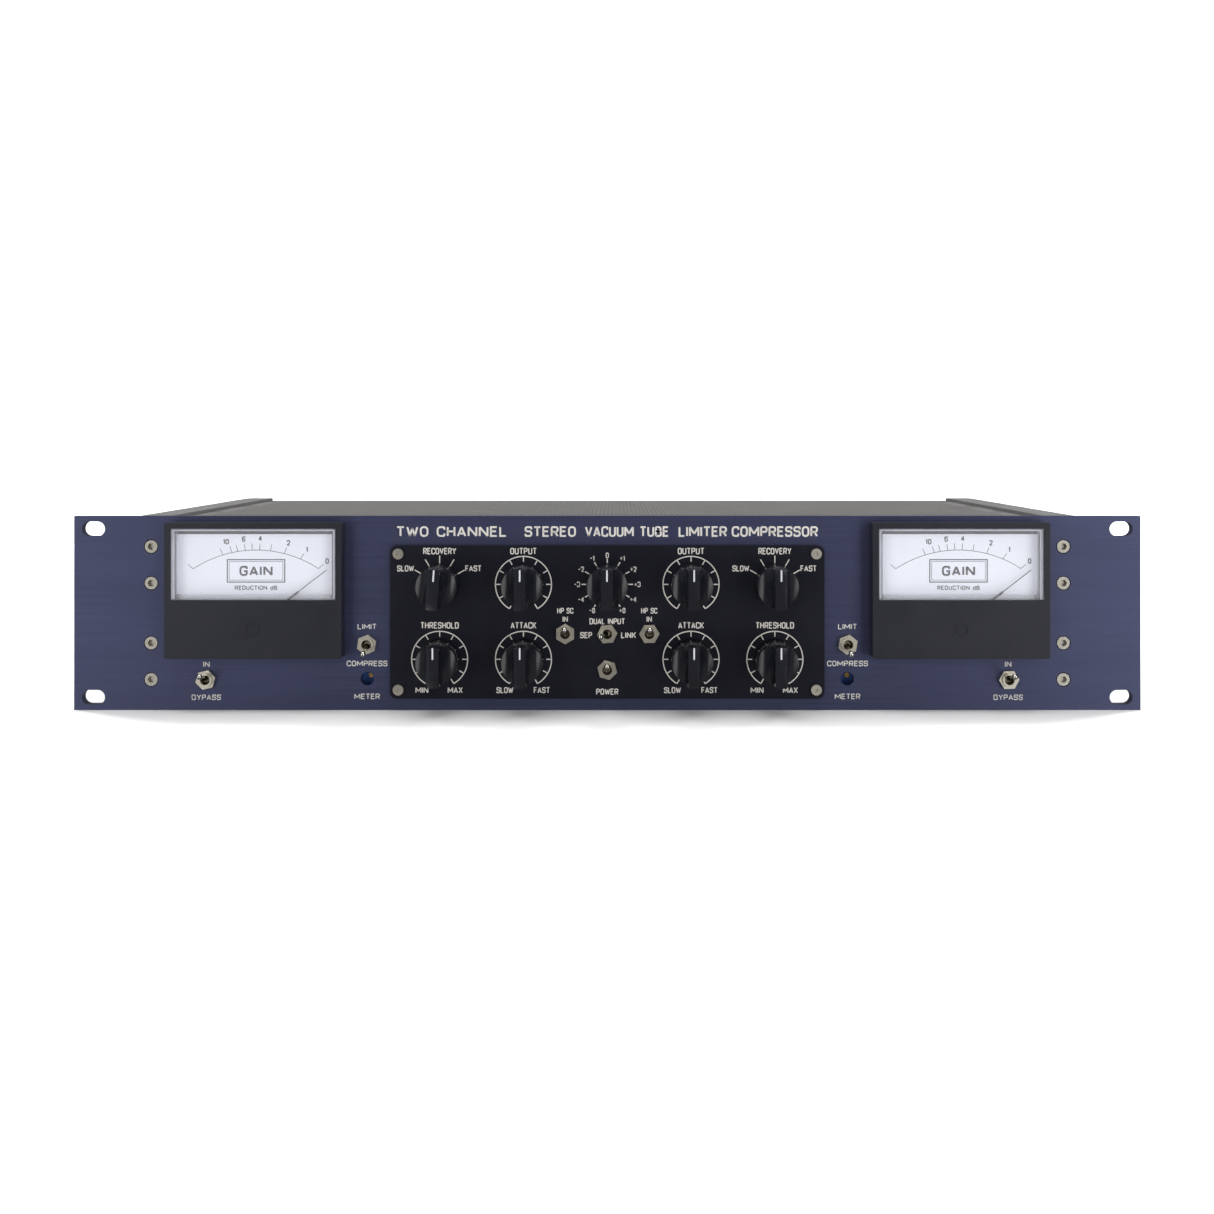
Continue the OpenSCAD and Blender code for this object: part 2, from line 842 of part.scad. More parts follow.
module wiring_loom() {
    color("saddlebrown") run(mains_route, 2.4);
    color("gray") run(signal_route, 3.2);
}

// ---- Rear ----

module flange_holes(dx, dy) {
    for (s = [-1, 1])
        translate([s * dx, s * dy, 0]) rod(flush_thread_r + gap, -eps, xlr_flange_t + eps);
}

// Three contacts on their circle
module contact_places() {
    for (a = pin_angles) rotate([0, 0, a]) translate([pin_circle_r, 0, 0]) children();
}

module xlr_inputs() {
    color("black") for (x = xlr_in_x) at_rear(x, 0) difference() {
        union() {
            rounded_plate(xlr_flange_w, xlr_flange_h, xlr_flange_t, 2.5);
            rod(xlr_shell_r, -20, xlr_flange_t);
        }
        tube(8, xlr_in_r, -14, xlr_flange_t + eps);
        contact_places() rod(1.35, -12, xlr_flange_t + eps);
        flange_holes(xlr_screw_dx, xlr_screw_dz);
        translate([0, latch_dz, 0]) block(6.6, 3.2, -eps, xlr_flange_t + eps);
    }
}

module xlr_latch(side) {
    i = side < 0 ? 0 : 1;
    color("silver") at_rear(xlr_in_x[i], 0) translate([0, latch_dz, 0])
        block(6, 2.6, latch_travel + 0.2, latch_travel + 3.2);
}

module xlr_outputs() {
    color("dimgray") for (x = xlr_out_x) at_rear(x, 0) {
        difference() {
            union() {
                rounded_plate(xlr_flange_w, xlr_flange_h, xlr_flange_t, 2.5);
                rod(xlr_shell_r, -20, xlr_flange_t);
            }
            rod(xlr_in_r, -16, xlr_flange_t + eps);
            contact_places() rod(contact_r + gap, -21, 0);
            flange_holes(xlr_screw_dx, xlr_screw_dz);
        }
        contact_places() rod(contact_r, -24, -1);
    }
}

module rear_jacks() {
    for (z = jack_rows) at_rear(jack_x, z) {
        color("black") difference() {
            union() {
                block(19, 19, -27, -rear_t - gap);
                rod(4.7, -rear_t - 2 * gap, 6);
            }
            rod(jack_r, -24, 6 + eps);
        }
        color("silver") hex_nut(12.7, 4.7 + gap, 2.2);
    }
}

module power_inlet() {
    pin_places = [[-7, -2, 2, 4], [7, -2, 2, 4], [0, 3.6, 4, 2]];
    at_rear(inlet_x, 0) {
        color("black") difference() {
            union() {
                rounded_plate(50, 22.5, xlr_flange_t, 3);
                block(27, 19.6, -22, xlr_flange_t);
            }
            block(inlet_cavity_w, inlet_cavity_h, -inlet_cavity_d, xlr_flange_t + eps);
            for (p = pin_places)
                translate([p[0], p[1], 0]) block(p[2] + 2 * gap, p[3] + 2 * gap, -23, 0);
            flange_holes(inlet_screw_dx, 0);
        }
        color("silver") for (p = pin_places) translate([p[0], p[1], 0]) block(p[2], p[3], -28, -2);
    }
}

module fuse_holder() {
    color("black") at_rear(fuse_x, 0) difference() {
        union() {
            rod(8, 0, 2);
            rod(6, -30, eps);
        }
        rod(5, -28, 2 + eps);
    }
}

module fuse_cap() {
    color("black") at_rear(fuse_x, 0) difference() {
        union() {
            rod(6.8, 2 + clear, 11);
            rod(4.7, -9, 2 + clear + gap);
        }
        block(9, 1.4, 9.6, 12);
    }
}

module ground_post() {
    color("silver") at_rear(post_x, 0) {
        rod(post_r, -8, post_shoulder);
        rod(post_end_r, post_shoulder - eps, post_shoulder + post_end_l);
        hexagon(7, 0, 2.8);
        hexagon(7, -rear_t - 3, -rear_t);
    }
}

module ground_nut() {
    grips = 12;
    color("silver") at_rear(post_x, 0) difference() {
        rod(5.5, 4, 10);
        rod(post_r + gap, 3, 11);
        for (i = [0 : grips - 1]) rotate([0, 0, 360 / grips * i]) translate([6, 0, 0]) rod(0.9, 3, 11);
    }
}

// ---- Assembly ----

front_panel();
control_plate();
side_rail_left();
side_rail_right();
floor_plate();
rear_panel();
top_cover();
panel_screws();
control_plate_screws();
chassis_screws();
rotary_control_bodies();
toggle_switch_bodies();
bushing_nuts();
meter_trimmers();
power_transformer();
signal_transformers();
circuit_board();
vacuum_tubes();
tube_sockets();
board_parts();
xlr_inputs();
xlr_outputs();
rear_jacks();
power_inlet();
fuse_holder();
fuse_cap();
ground_post();
ground_nut();
wiring_loom();
for (k = KNOBS) knob(k);
for (t = TOGGLES) lever(t);
for (s = SIDES) {
    meter_case(s[1]);
    meter_window(s[1]);
    meter_dial(s[1]);
    meter_movement(s[1]);
    needle(s[1]);
    trim_screw(s[1]);
    xlr_latch(s[1]);
}
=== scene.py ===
"""Looks of a two-unit rack compressor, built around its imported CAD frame."""
import json
import math

import bmesh
import bpy
from mathutils import Matrix, Vector


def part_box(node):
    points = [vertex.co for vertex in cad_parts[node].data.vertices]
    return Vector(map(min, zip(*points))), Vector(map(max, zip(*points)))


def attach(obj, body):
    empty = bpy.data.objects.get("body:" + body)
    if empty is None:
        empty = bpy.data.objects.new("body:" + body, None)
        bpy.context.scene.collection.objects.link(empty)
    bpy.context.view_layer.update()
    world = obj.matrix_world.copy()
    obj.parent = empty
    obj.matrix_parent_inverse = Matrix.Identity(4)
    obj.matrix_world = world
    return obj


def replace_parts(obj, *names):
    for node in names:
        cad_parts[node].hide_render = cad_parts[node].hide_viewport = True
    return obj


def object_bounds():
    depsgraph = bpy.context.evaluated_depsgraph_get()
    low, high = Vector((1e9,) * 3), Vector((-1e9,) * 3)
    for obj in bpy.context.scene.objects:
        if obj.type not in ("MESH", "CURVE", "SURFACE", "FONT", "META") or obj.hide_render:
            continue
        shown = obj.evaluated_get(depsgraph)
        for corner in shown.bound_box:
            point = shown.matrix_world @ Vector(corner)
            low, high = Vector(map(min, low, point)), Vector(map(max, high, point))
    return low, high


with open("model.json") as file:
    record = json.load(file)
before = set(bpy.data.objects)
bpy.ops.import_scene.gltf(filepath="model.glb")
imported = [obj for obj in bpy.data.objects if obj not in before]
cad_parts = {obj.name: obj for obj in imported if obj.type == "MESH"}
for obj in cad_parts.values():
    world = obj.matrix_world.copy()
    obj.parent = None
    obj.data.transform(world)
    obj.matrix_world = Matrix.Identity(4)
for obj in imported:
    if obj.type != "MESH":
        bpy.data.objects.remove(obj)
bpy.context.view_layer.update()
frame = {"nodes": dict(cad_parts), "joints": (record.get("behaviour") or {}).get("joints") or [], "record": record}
NODES = frame["nodes"]
MM = 0.001
SIDES = ("left", "right")

# Local frames: z points out of the front or the rear, y points up
OUT_FRONT = Matrix(((1, 0, 0), (0, 0, -1), (0, 1, 0))).to_4x4()
OUT_REAR = Matrix(((-1, 0, 0), (0, 0, 1), (0, 1, 0))).to_4x4()

PANEL_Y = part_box("front_panel")[0].y
PLATE_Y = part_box("control_plate")[0].y
REAR_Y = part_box("rear_panel")[1].y
JOINTS = {j["child"]: j for j in frame["joints"]}
MOUNTS = {m["name"]: m for m in frame["record"]["mounts"]}


# ---- Meshes ----

def mesh_object(name, bm, smooth=True):
    """A new object from a bmesh, with its normals made to point outwards."""
    bmesh.ops.remove_doubles(bm, verts=bm.verts, dist=1e-7)
    bmesh.ops.recalc_face_normals(bm, faces=bm.faces)
    mesh = bpy.data.meshes.new(name)
    bm.to_mesh(mesh)
    bm.free()
    for face in mesh.polygons:
        face.use_smooth = smooth
    obj = bpy.data.objects.new(name, mesh)
    bpy.context.scene.collection.objects.link(obj)
    return obj


def applied(obj):
    """The object with its modifiers made part of its mesh."""
    graph = bpy.context.evaluated_depsgraph_get()
    mesh = bpy.data.meshes.new_from_object(obj.evaluated_get(graph))
    obj.modifiers.clear()
    obj.data = mesh
    return obj


def bevel(obj, width, segments=3, angle=30):
    mod = obj.modifiers.new("edges", "BEVEL")
    mod.width = width * MM
    mod.segments = segments
    mod.limit_method = "ANGLE"
    mod.angle_limit = math.radians(angle)
    mod.harden_normals = True
    return obj


def cut(obj, tool):
    """Cuts the tool's shape out of the object; the tool is used up."""
    mod = obj.modifiers.new("cut", "BOOLEAN")
    mod.operation = "DIFFERENCE"
    mod.object = tool
    mod.solver = "EXACT"
    applied(obj)
    bpy.data.objects.remove(tool)


def add_prism(bm, outline, z0, z1):
    """Adds a closed prism on an outline of (x, y) points, in millimetres."""
    low = [bm.verts.new((x * MM, y * MM, z0 * MM)) for x, y in outline]
    high = [bm.verts.new((x * MM, y * MM, z1 * MM)) for x, y in outline]
    bm.faces.new(low[::-1])
    bm.faces.new(high)
    for i in range(len(outline)):
        j = (i + 1) % len(outline)
        bm.faces.new((low[i], low[j], high[j], high[i]))


def prism(name, outline, z0, z1, smooth=False):
    bm = bmesh.new()
    add_prism(bm, outline, z0, z1)
    return mesh_object(name, bm, smooth)


def circle_points(r, count=64, x=0.0, y=0.0, start=0.0, sweep=360.0, closed=True):
    steps = count if closed else count + 1
    angles = [math.radians(start + sweep * i / count) for i in range(steps)]
    return [(x + r * math.cos(a), y + r * math.sin(a)) for a in angles]


def rounded_rect(w, h, r, steps=6):
    points = []
    for sx, sy, start in ((1, 1, 0), (-1, 1, 90), (-1, -1, 180), (1, -1, 270)):
        cx = sx * (w / 2 - r)
        cy = sy * (h / 2 - r)
        points += circle_points(r, steps, cx, cy, start, 90, closed=False)
    return points


def lathe(name, profile, segments=64):
    """Turns a profile of (radius, height) points in millimetres about z. Ends at radius 0 are closed."""
    bm = bmesh.new()
    rings = []
    for r, h in profile:
        if r < 1e-6:
            rings.append([bm.verts.new((0, 0, h * MM))])
            continue
        ring = [bm.verts.new((x * MM, y * MM, h * MM)) for x, y in circle_points(r, segments)]
        rings.append(ring)
    for a, b in zip(rings, rings[1:]):
        for i in range(segments):
            j = (i + 1) % segments
            corners = [a[i % len(a)], a[j % len(a)], b[j % len(b)], b[i % len(b)]]
            unique = [v for k, v in enumerate(corners) if v not in corners[:k]]
            if len(unique) > 2:
                bm.faces.new(unique)
    return mesh_object(name, bm)


def arc_profile(cx, cy, r, a0, a1, steps):
    return [(cx + r * math.cos(math.radians(a0 + (a1 - a0) * i / steps)),
             cy + r * math.sin(math.radians(a0 + (a1 - a0) * i / steps))) for i in range(steps + 1)]


def place(obj, base, x, y, z, turn=0.0):
    """Puts an object in a local frame, at a row position in metres."""
    obj.matrix_world = Matrix.Translation((x, y, z)) @ base @ Matrix.Rotation(math.radians(turn), 4, "Z")
    return obj


def finish_piece(obj, material, body="root"):
    obj.data.materials.clear()
    obj.data.materials.append(material)
    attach(obj, body)
    return obj


# ---- Materials ----

# Noise values between which a material's colour and roughness change
NOISE_SPAN = (0.3, 0.7)


def linear(r, g, b):
    """A colour given as 0-255 display values, in linear light."""
    def channel(v):
        v /= 255
        return v / 12.92 if v <= 0.04045 else ((v + 0.055) / 1.055) ** 2.4
    return tuple(channel(v) for v in (r, g, b))


class Surface:
    """A Principled material whose colour, roughness and relief come from noise."""

    def __init__(self, name, color, roughness=0.5, metallic=0.0, **values):
        self.mat = bpy.data.materials.new(name)
        self.mat.use_nodes = True
        self.tree = self.mat.node_tree
        self.bsdf = self.tree.nodes["Principled BSDF"]
        self.bsdf.inputs["Base Color"].default_value = (*color, 1)
        self.bsdf.inputs["Roughness"].default_value = roughness
        self.bsdf.inputs["Metallic"].default_value = metallic
        for key, value in values.items():
            self.bsdf.inputs[key.replace("_", " ")].default_value = value
        self.color = color

    def node(self, kind, **settings):
        node = self.tree.nodes.new(kind)
        for key, value in settings.items():
            setattr(node, key, value)
        return node

    def coords(self, scale):
        source = self.node("ShaderNodeTexCoord")
        mapping = self.node("ShaderNodeMapping")
        mapping.inputs["Scale"].default_value = scale
        self.tree.links.new(source.outputs["Object"], mapping.inputs["Vector"])
        return mapping.outputs["Vector"]

    def noise(self, scale, detail=4.0, roughness=0.6):
        """Noise in object space; scale is cycles per metre along x, y and z."""
        if not isinstance(scale, tuple):
            scale = (scale, scale, scale)
        tex = self.node("ShaderNodeTexNoise")
        tex.inputs["Scale"].default_value = 1.0
        tex.inputs["Detail"].default_value = detail
        tex.inputs["Roughness"].default_value = roughness
        self.tree.links.new(self.coords(scale), tex.inputs["Vector"])
        return tex.outputs["Fac"]

    def ramp(self, fac, low, high):
        """Colours from low to high over the middle part of a noise."""
        ramp = self.node("ShaderNodeValToRGB")
        for element, at, color in zip(ramp.color_ramp.elements, NOISE_SPAN, (low, high)):
            element.position = at
            element.color = (*color, 1)
        self.tree.links.new(fac, ramp.inputs["Fac"])
        return ramp.outputs["Color"]

    def grey(self, fac, low, high):
        return self.ramp(fac, (low,) * 3, (high,) * 3)

    def multiply(self, a, b):
        mixer = self.node("ShaderNodeMix", data_type="RGBA", blend_type="MULTIPLY")
        mixer.inputs["Factor"].default_value = 1.0
        self.tree.links.new(a, mixer.inputs[6])
        self.tree.links.new(b, mixer.inputs[7])
        return mixer.outputs[2]

    def paint(self, color_socket):
        self.tree.links.new(color_socket, self.bsdf.inputs["Base Color"])
        return self

    def tint(self, fac, spread):
        """Base colour that swings either side of the material's own colour."""
        dark = tuple(c * (1 - spread) for c in self.color)
        light = tuple(min(1, c * (1 + spread)) for c in self.color)
        return self.ramp(fac, dark, light)

    def gloss(self, fac, low, high):
        self.tree.links.new(self.grey(fac, low, high), self.bsdf.inputs["Roughness"])
        return self

    def relief(self, fac, depth):
        """Bump of the given depth in millimetres."""
        bump = self.node("ShaderNodeBump")
        bump.inputs["Distance"].default_value = depth * MM
        bump.inputs["Strength"].default_value = 1.0
        self.tree.links.new(fac, bump.inputs["Height"])
        self.tree.links.new(bump.outputs["Normal"], self.bsdf.inputs["Normal"])
        return self


def brushed(name, color, roughness, grain, spread=0.12, depth=0.004, broad=None, metallic=1.0):
    """Brushed metal; grain is the noise scale, low along the brush lines."""
    s = Surface(name, color, roughness, metallic)
    fine = s.noise(grain, 6, 0.7)
    patches = s.noise(broad or tuple(g * 0.12 for g in grain), 3, 0.55)
    s.paint(s.multiply(s.tint(fine, spread), s.grey(patches, 0.86, 1)))
    s.gloss(fine, roughness - 0.06, roughness + 0.08)
    return s.relief(fine, depth).mat


def satin_metal(name, color, roughness, speck=2600, spread=0.1, depth=0.006, metallic=1.0, **values):
    """Bead-blasted or plated metal."""
    s = Surface(name, color, roughness, metallic, **values)
    grain = s.noise(speck, 3, 0.6)
    stain = s.noise(45, 4, 0.6)
    s.paint(s.multiply(s.tint(grain, spread), s.grey(stain, 0.88, 1)))
    s.gloss(stain, roughness - 0.05, roughness + 0.07)
    return s.relief(grain, depth).mat


def moulded(name, color, roughness, speck=1800, spread=0.1, depth=0.008, **values):
    """Moulded or painted surface with a fine orange-peel grain."""
    s = Surface(name, color, roughness, 0.0, **values)
    grain = s.noise(speck, 4, 0.6)
    haze = s.noise(60, 4, 0.6)
    s.paint(s.tint(haze, spread))
    s.gloss(haze, max(0.02, roughness - 0.05), roughness + 0.07)
    return s.relief(grain, depth).mat


M = {
    "panel": brushed("panel_blue_brushed", linear(65, 69, 98), 0.40, (14, 14, 2600), 0.16, 0.006,
                     (5, 5, 60), 0.65),
    "plate": moulded("plate_black_anodised", linear(21, 22, 31), 0.4, 3000, 0.1, 0.004,
                     Specular_IOR_Level=0.14),
    "rail": brushed("rail_grey_anodised", linear(104, 103, 103), 0.6, (2200, 30, 30), 0.1, 0.006,
                    (40, 6, 40), 0.25),
    "cover": satin_metal("cover_grey_anodised", linear(103, 102, 101), 0.6, 1600, metallic=0.25,
                         Specular_IOR_Level=0.25),
    "sheet": satin_metal("sheet_grey_anodised", linear(160, 160, 163), 0.45),
    "nickel": satin_metal("nickel_plate", linear(216, 210, 195), 0.36, 3000, 0.08, 0.004),
    # Darker copy of the nickel plate for the panel screws: painted shade standing in for the shadow in their
    # counterbores
    "nickel_in_painted_shade": satin_metal("socket_screw_nickel_painted_shade", linear(180, 176, 166), 0.34, 2400, 0.14, 0.01),
    "black_steel": satin_metal("black_oxide_steel", linear(46, 46, 50), 0.38, 3000, 0.15, 0.004),
    "knob": moulded("knob_gloss_black", linear(19, 20, 26), 0.22, 900, 0.1, 0.002, Specular_IOR_Level=0.5),
    "lever": satin_metal("lever_bright_nickel", linear(202, 200, 194), 0.12, 2500, 0.04, 0.002),
    "case": moulded("meter_case_black", linear(31, 32, 39), 0.38, 2600, 0.06, 0.006, Specular_IOR_Level=0.28),
    "dial": moulded("dial_white_paint", linear(218, 221, 232), 0.55, 1500, 0.015, 0.003),
    "ink": moulded("dial_grey_ink", linear(50, 48, 56), 0.6, 2500, 0.1, 0.002),
    "print": moulded("legend_light_print", linear(205, 201, 195), 0.6, 2600, 0.04, 0.003),
    "pointer": moulded("pointer_grey_fill", linear(196, 197, 202), 0.5, 2200, 0.03, 0.003),
    "brass": satin_metal("turned_brass", linear(214, 178, 110), 0.25, 2600, 0.1, 0.003),
    "trimmer": moulded("trimmer_blue", linear(40, 90, 170), 0.45),
    "needle": moulded("needle_black_paint", linear(24, 24, 26), 0.5, 2500, 0.1, 0.002),
    "steel": satin_metal("machined_steel", linear(150, 150, 152), 0.32),
    "zinc": satin_metal("zinc_plate", linear(178, 174, 160), 0.35),
    "winding": moulded("taped_winding", linear(196, 150, 60), 0.45, (300, 300, 2400), 0.15, 0.05),
    "can": satin_metal("drawn_can", linear(172, 172, 172), 0.34),
    "board": moulded("board_green_mask", linear(20, 84, 50), 0.35, 1200, 0.15, 0.01),
    "ceramic": moulded("glazed_ceramic", linear(226, 220, 204), 0.25, 700, 0.04, 0.004),
    "component": moulded("component_sleeve", linear(28, 34, 62), 0.35, 900, 0.12, 0.006),
    "connector": moulded("connector_black", linear(30, 30, 32), 0.45, 2200, 0.1, 0.008),
    "die_cast": satin_metal("die_cast_nickel", linear(170, 170, 174), 0.4, 1400, 0.08, 0.01),
    "sheath": moulded("wire_sheath", linear(60, 60, 64), 0.55, 1500, 0.15, 0.02),
    "valve": moulded("valve_glass", (0.82, 0.86, 0.86), 0.06, 300, 0.03, 0.002, Alpha=0.3),
    "pane": moulded("clear_acrylic", (0.92, 0.94, 0.96), 0.05, 200, 0.02, 0.001, Alpha=0.07),
    # Window walls: clear acrylic given a light grey colour, a painted highlight standing in for the light its
    # edge-on walls catch
    "rim": moulded("clear_acrylic_wall_painted_highlight", linear(190, 193, 206), 0.08, 300, 0.12, 0.004, Alpha=0.8),
    # Ledge at the foot of the window: clear acrylic given a near-white colour, a painted highlight
    "ledge": moulded("clear_acrylic_ledge_painted_highlight", linear(238, 240, 250), 0.1, 300, 0.04, 0.004, Alpha=0.35),
    # Thin dark strips and rings on the clear window: painted shade standing in for the dark lines its edge-on
    # walls show
    "shade_line": moulded("clear_acrylic_painted_dark_lines", linear(58, 58, 66), 0.3, 900, 0.1, 0.004),
}

# Each CAD node's material, and the width of its edge bevel in millimetres
DRESS = {
    "front_panel": ("panel", 0.25), "control_plate": ("plate", 0.2), "side_rail_left": ("rail", 0.4),
    "side_rail_right": ("rail", 0.4), "floor_plate": ("sheet", 0.2), "rear_panel": ("sheet", 0.2),
    # The panel screws take the darker nickel, painted shade for their counterbores
    "panel_screws": ("nickel_in_painted_shade", 0.15), "control_plate_screws": ("nickel", 0.12),
    "chassis_screws": ("black_steel", 0.2), "rotary_control_bodies": ("zinc", 0.2),
    "toggle_switch_bodies": ("nickel", 0.15), "bushing_nuts": ("nickel", 0.3),
    "meter_trimmers": ("trimmer", 0.3), "power_transformer": ("winding", 0.0),
    "signal_transformers": ("can", 0.8), "circuit_board": ("board", 0.1),
    "vacuum_tubes": ("valve", 0.0), "tube_sockets": ("ceramic", 0.3), "board_parts": ("component", 0.4),
    "xlr_inputs": ("connector", 0.25), "xlr_outputs": ("die_cast", 0.25), "rear_jacks": ("connector", 0.25),
    "power_inlet": ("connector", 0.3), "fuse_holder": ("connector", 0.3), "fuse_cap": ("connector", 0.3),
    "ground_post": ("brass", 0.15), "ground_nut": ("brass", 0.15), "wiring_loom": ("sheath", 0.8),
}
for side in SIDES:
    DRESS[f"meter_case_{side}"] = ("case", 0.45)
    DRESS[f"meter_dial_{side}"] = ("dial", 0.1)
    DRESS[f"meter_movement_{side}"] = ("steel", 0.2)
    DRESS[f"needle_{side}"] = ("needle", 0.0)
    DRESS[f"trim_screw_{side}"] = ("brass", 0.1)
    DRESS[f"xlr_latch_{side}"] = ("die_cast", 0.3)

for node, (material, edge) in DRESS.items():
    obj = NODES[node]
    obj.data.materials.clear()
    obj.data.materials.append(M[material])
    if edge:
        bevel(obj, edge, 2)


# ---- Knobs ----

def knob_mesh():
    """Bar knob: a turned base cut by concave sides to a flat bar, with eased edges."""
    low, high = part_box("knob_dual_input")
    height = (PLATE_Y - low.y) / MM
    radius = (high.x - low.x) / 2 / MM
    bar, scoop, skirt, lift = 5.0, 6.8, 13.5, 0.6
    body = lathe("knob_shape", [(0, lift), (radius, lift), (radius - 0.4, height), (0, height)], 128)
    arc = arc_profile(bar / 2 + scoop, skirt + scoop, scoop, 180, 270, 20)
    flank = [(bar / 2, height + 2)] + arc + [(radius + 8, skirt), (radius + 8, height + 2)]
    for s in (-1, 1):
        cutter = prism("cutter", [(s * x, y) for x, y in flank], -radius - 2, radius + 2)
        cutter.data.transform(Matrix.Rotation(math.radians(90), 4, "X"))
        cut(body, cutter)
    recess_r, recess_z = 6.6, 3.8
    cut(body, lathe("cutter", [(0, -1), (recess_r, -1), (recess_r, recess_z), (0, recess_z)], 64))
    bevel(body, 0.3, 3, 35)
    applied(body)
    mesh = body.data
    for face in mesh.polygons:
        face.use_smooth = True
    mesh.set_sharp_from_angle(angle=math.radians(32))
    bpy.data.objects.remove(body)
    return mesh, height, radius


def build_knobs():
    mesh, height, radius = knob_mesh()
    line_w, line_l = 0.66, 5.1
    shaft_r, shaft_z0, shaft_z1 = 3, -2, 3.6
    for name in [n for n in NODES if n.startswith("knob_")]:
        joint = JOINTS[name]
        x, _, z = joint["pos_m"]
        turn = (joint["range_deg"][0] + joint["range_deg"][1]) / 2
        body = bpy.data.objects.new(f"{name}_bar", mesh.copy())
        bpy.context.scene.collection.objects.link(body)
        place(body, OUT_FRONT, x, PLATE_Y, z, turn)
        line = prism(f"{name}_line", rounded_rect(line_w, line_l, 0.25), -0.1, 0.05)
        line.data.transform(Matrix.Translation((0, (radius - 0.5 - line_l / 2) * MM, height * MM)))
        place(line, OUT_FRONT, x, PLATE_Y, z, turn)
        shaft = lathe(f"{name}_shaft", [(0, shaft_z0), (shaft_r, shaft_z0), (shaft_r, shaft_z1),
                                        (0, shaft_z1)], 48)
        place(shaft, OUT_FRONT, x, PLATE_Y, z, turn)
        finish_piece(shaft, M["zinc"], name)
        finish_piece(line, M["pointer"], name)
        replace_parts(finish_piece(body, M["knob"], name), name)


# ---- Toggles ----

def build_levers():
    """Bat levers: a ball at the pivot, a slim neck and a round tip, leaning as the CAD ones do."""
    ball, neck, tip, reach = 1.8, 0.95, 1.3, 12.3
    profile = [(0, -3), (0.6, -3), (0.6, -1.7)] + arc_profile(0, 0, ball, -68, 58, 10)
    profile += [(neck, 1.8), (neck * 0.92, 4), (neck * 0.94, 7), (1.02, 10.2)]
    profile += arc_profile(0, reach, tip, -35, 90, 10)
    for name in [n for n in NODES if n.startswith("lever_")]:
        joint = JOINTS[name]
        tilt = max(abs(v) for v in joint["range_deg"]) / 2
        low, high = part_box(name)
        middle = (low + high) / 2
        pivot = Vector(joint["pos_m"])
        lean = Vector((middle.x - pivot.x, 0, middle.z - pivot.z)).normalized()
        axis = Vector((0, -1, 0)) * math.cos(math.radians(tilt)) + lean * math.sin(math.radians(tilt))
        obj = lathe(f"{name}_bat", profile, 40)
        obj.matrix_world = Matrix.Translation(pivot) @ axis.to_track_quat("Z", "Y").to_matrix().to_4x4()
        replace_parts(finish_piece(obj, M["lever"], name), name)


# ---- Lettering and printed marks ----

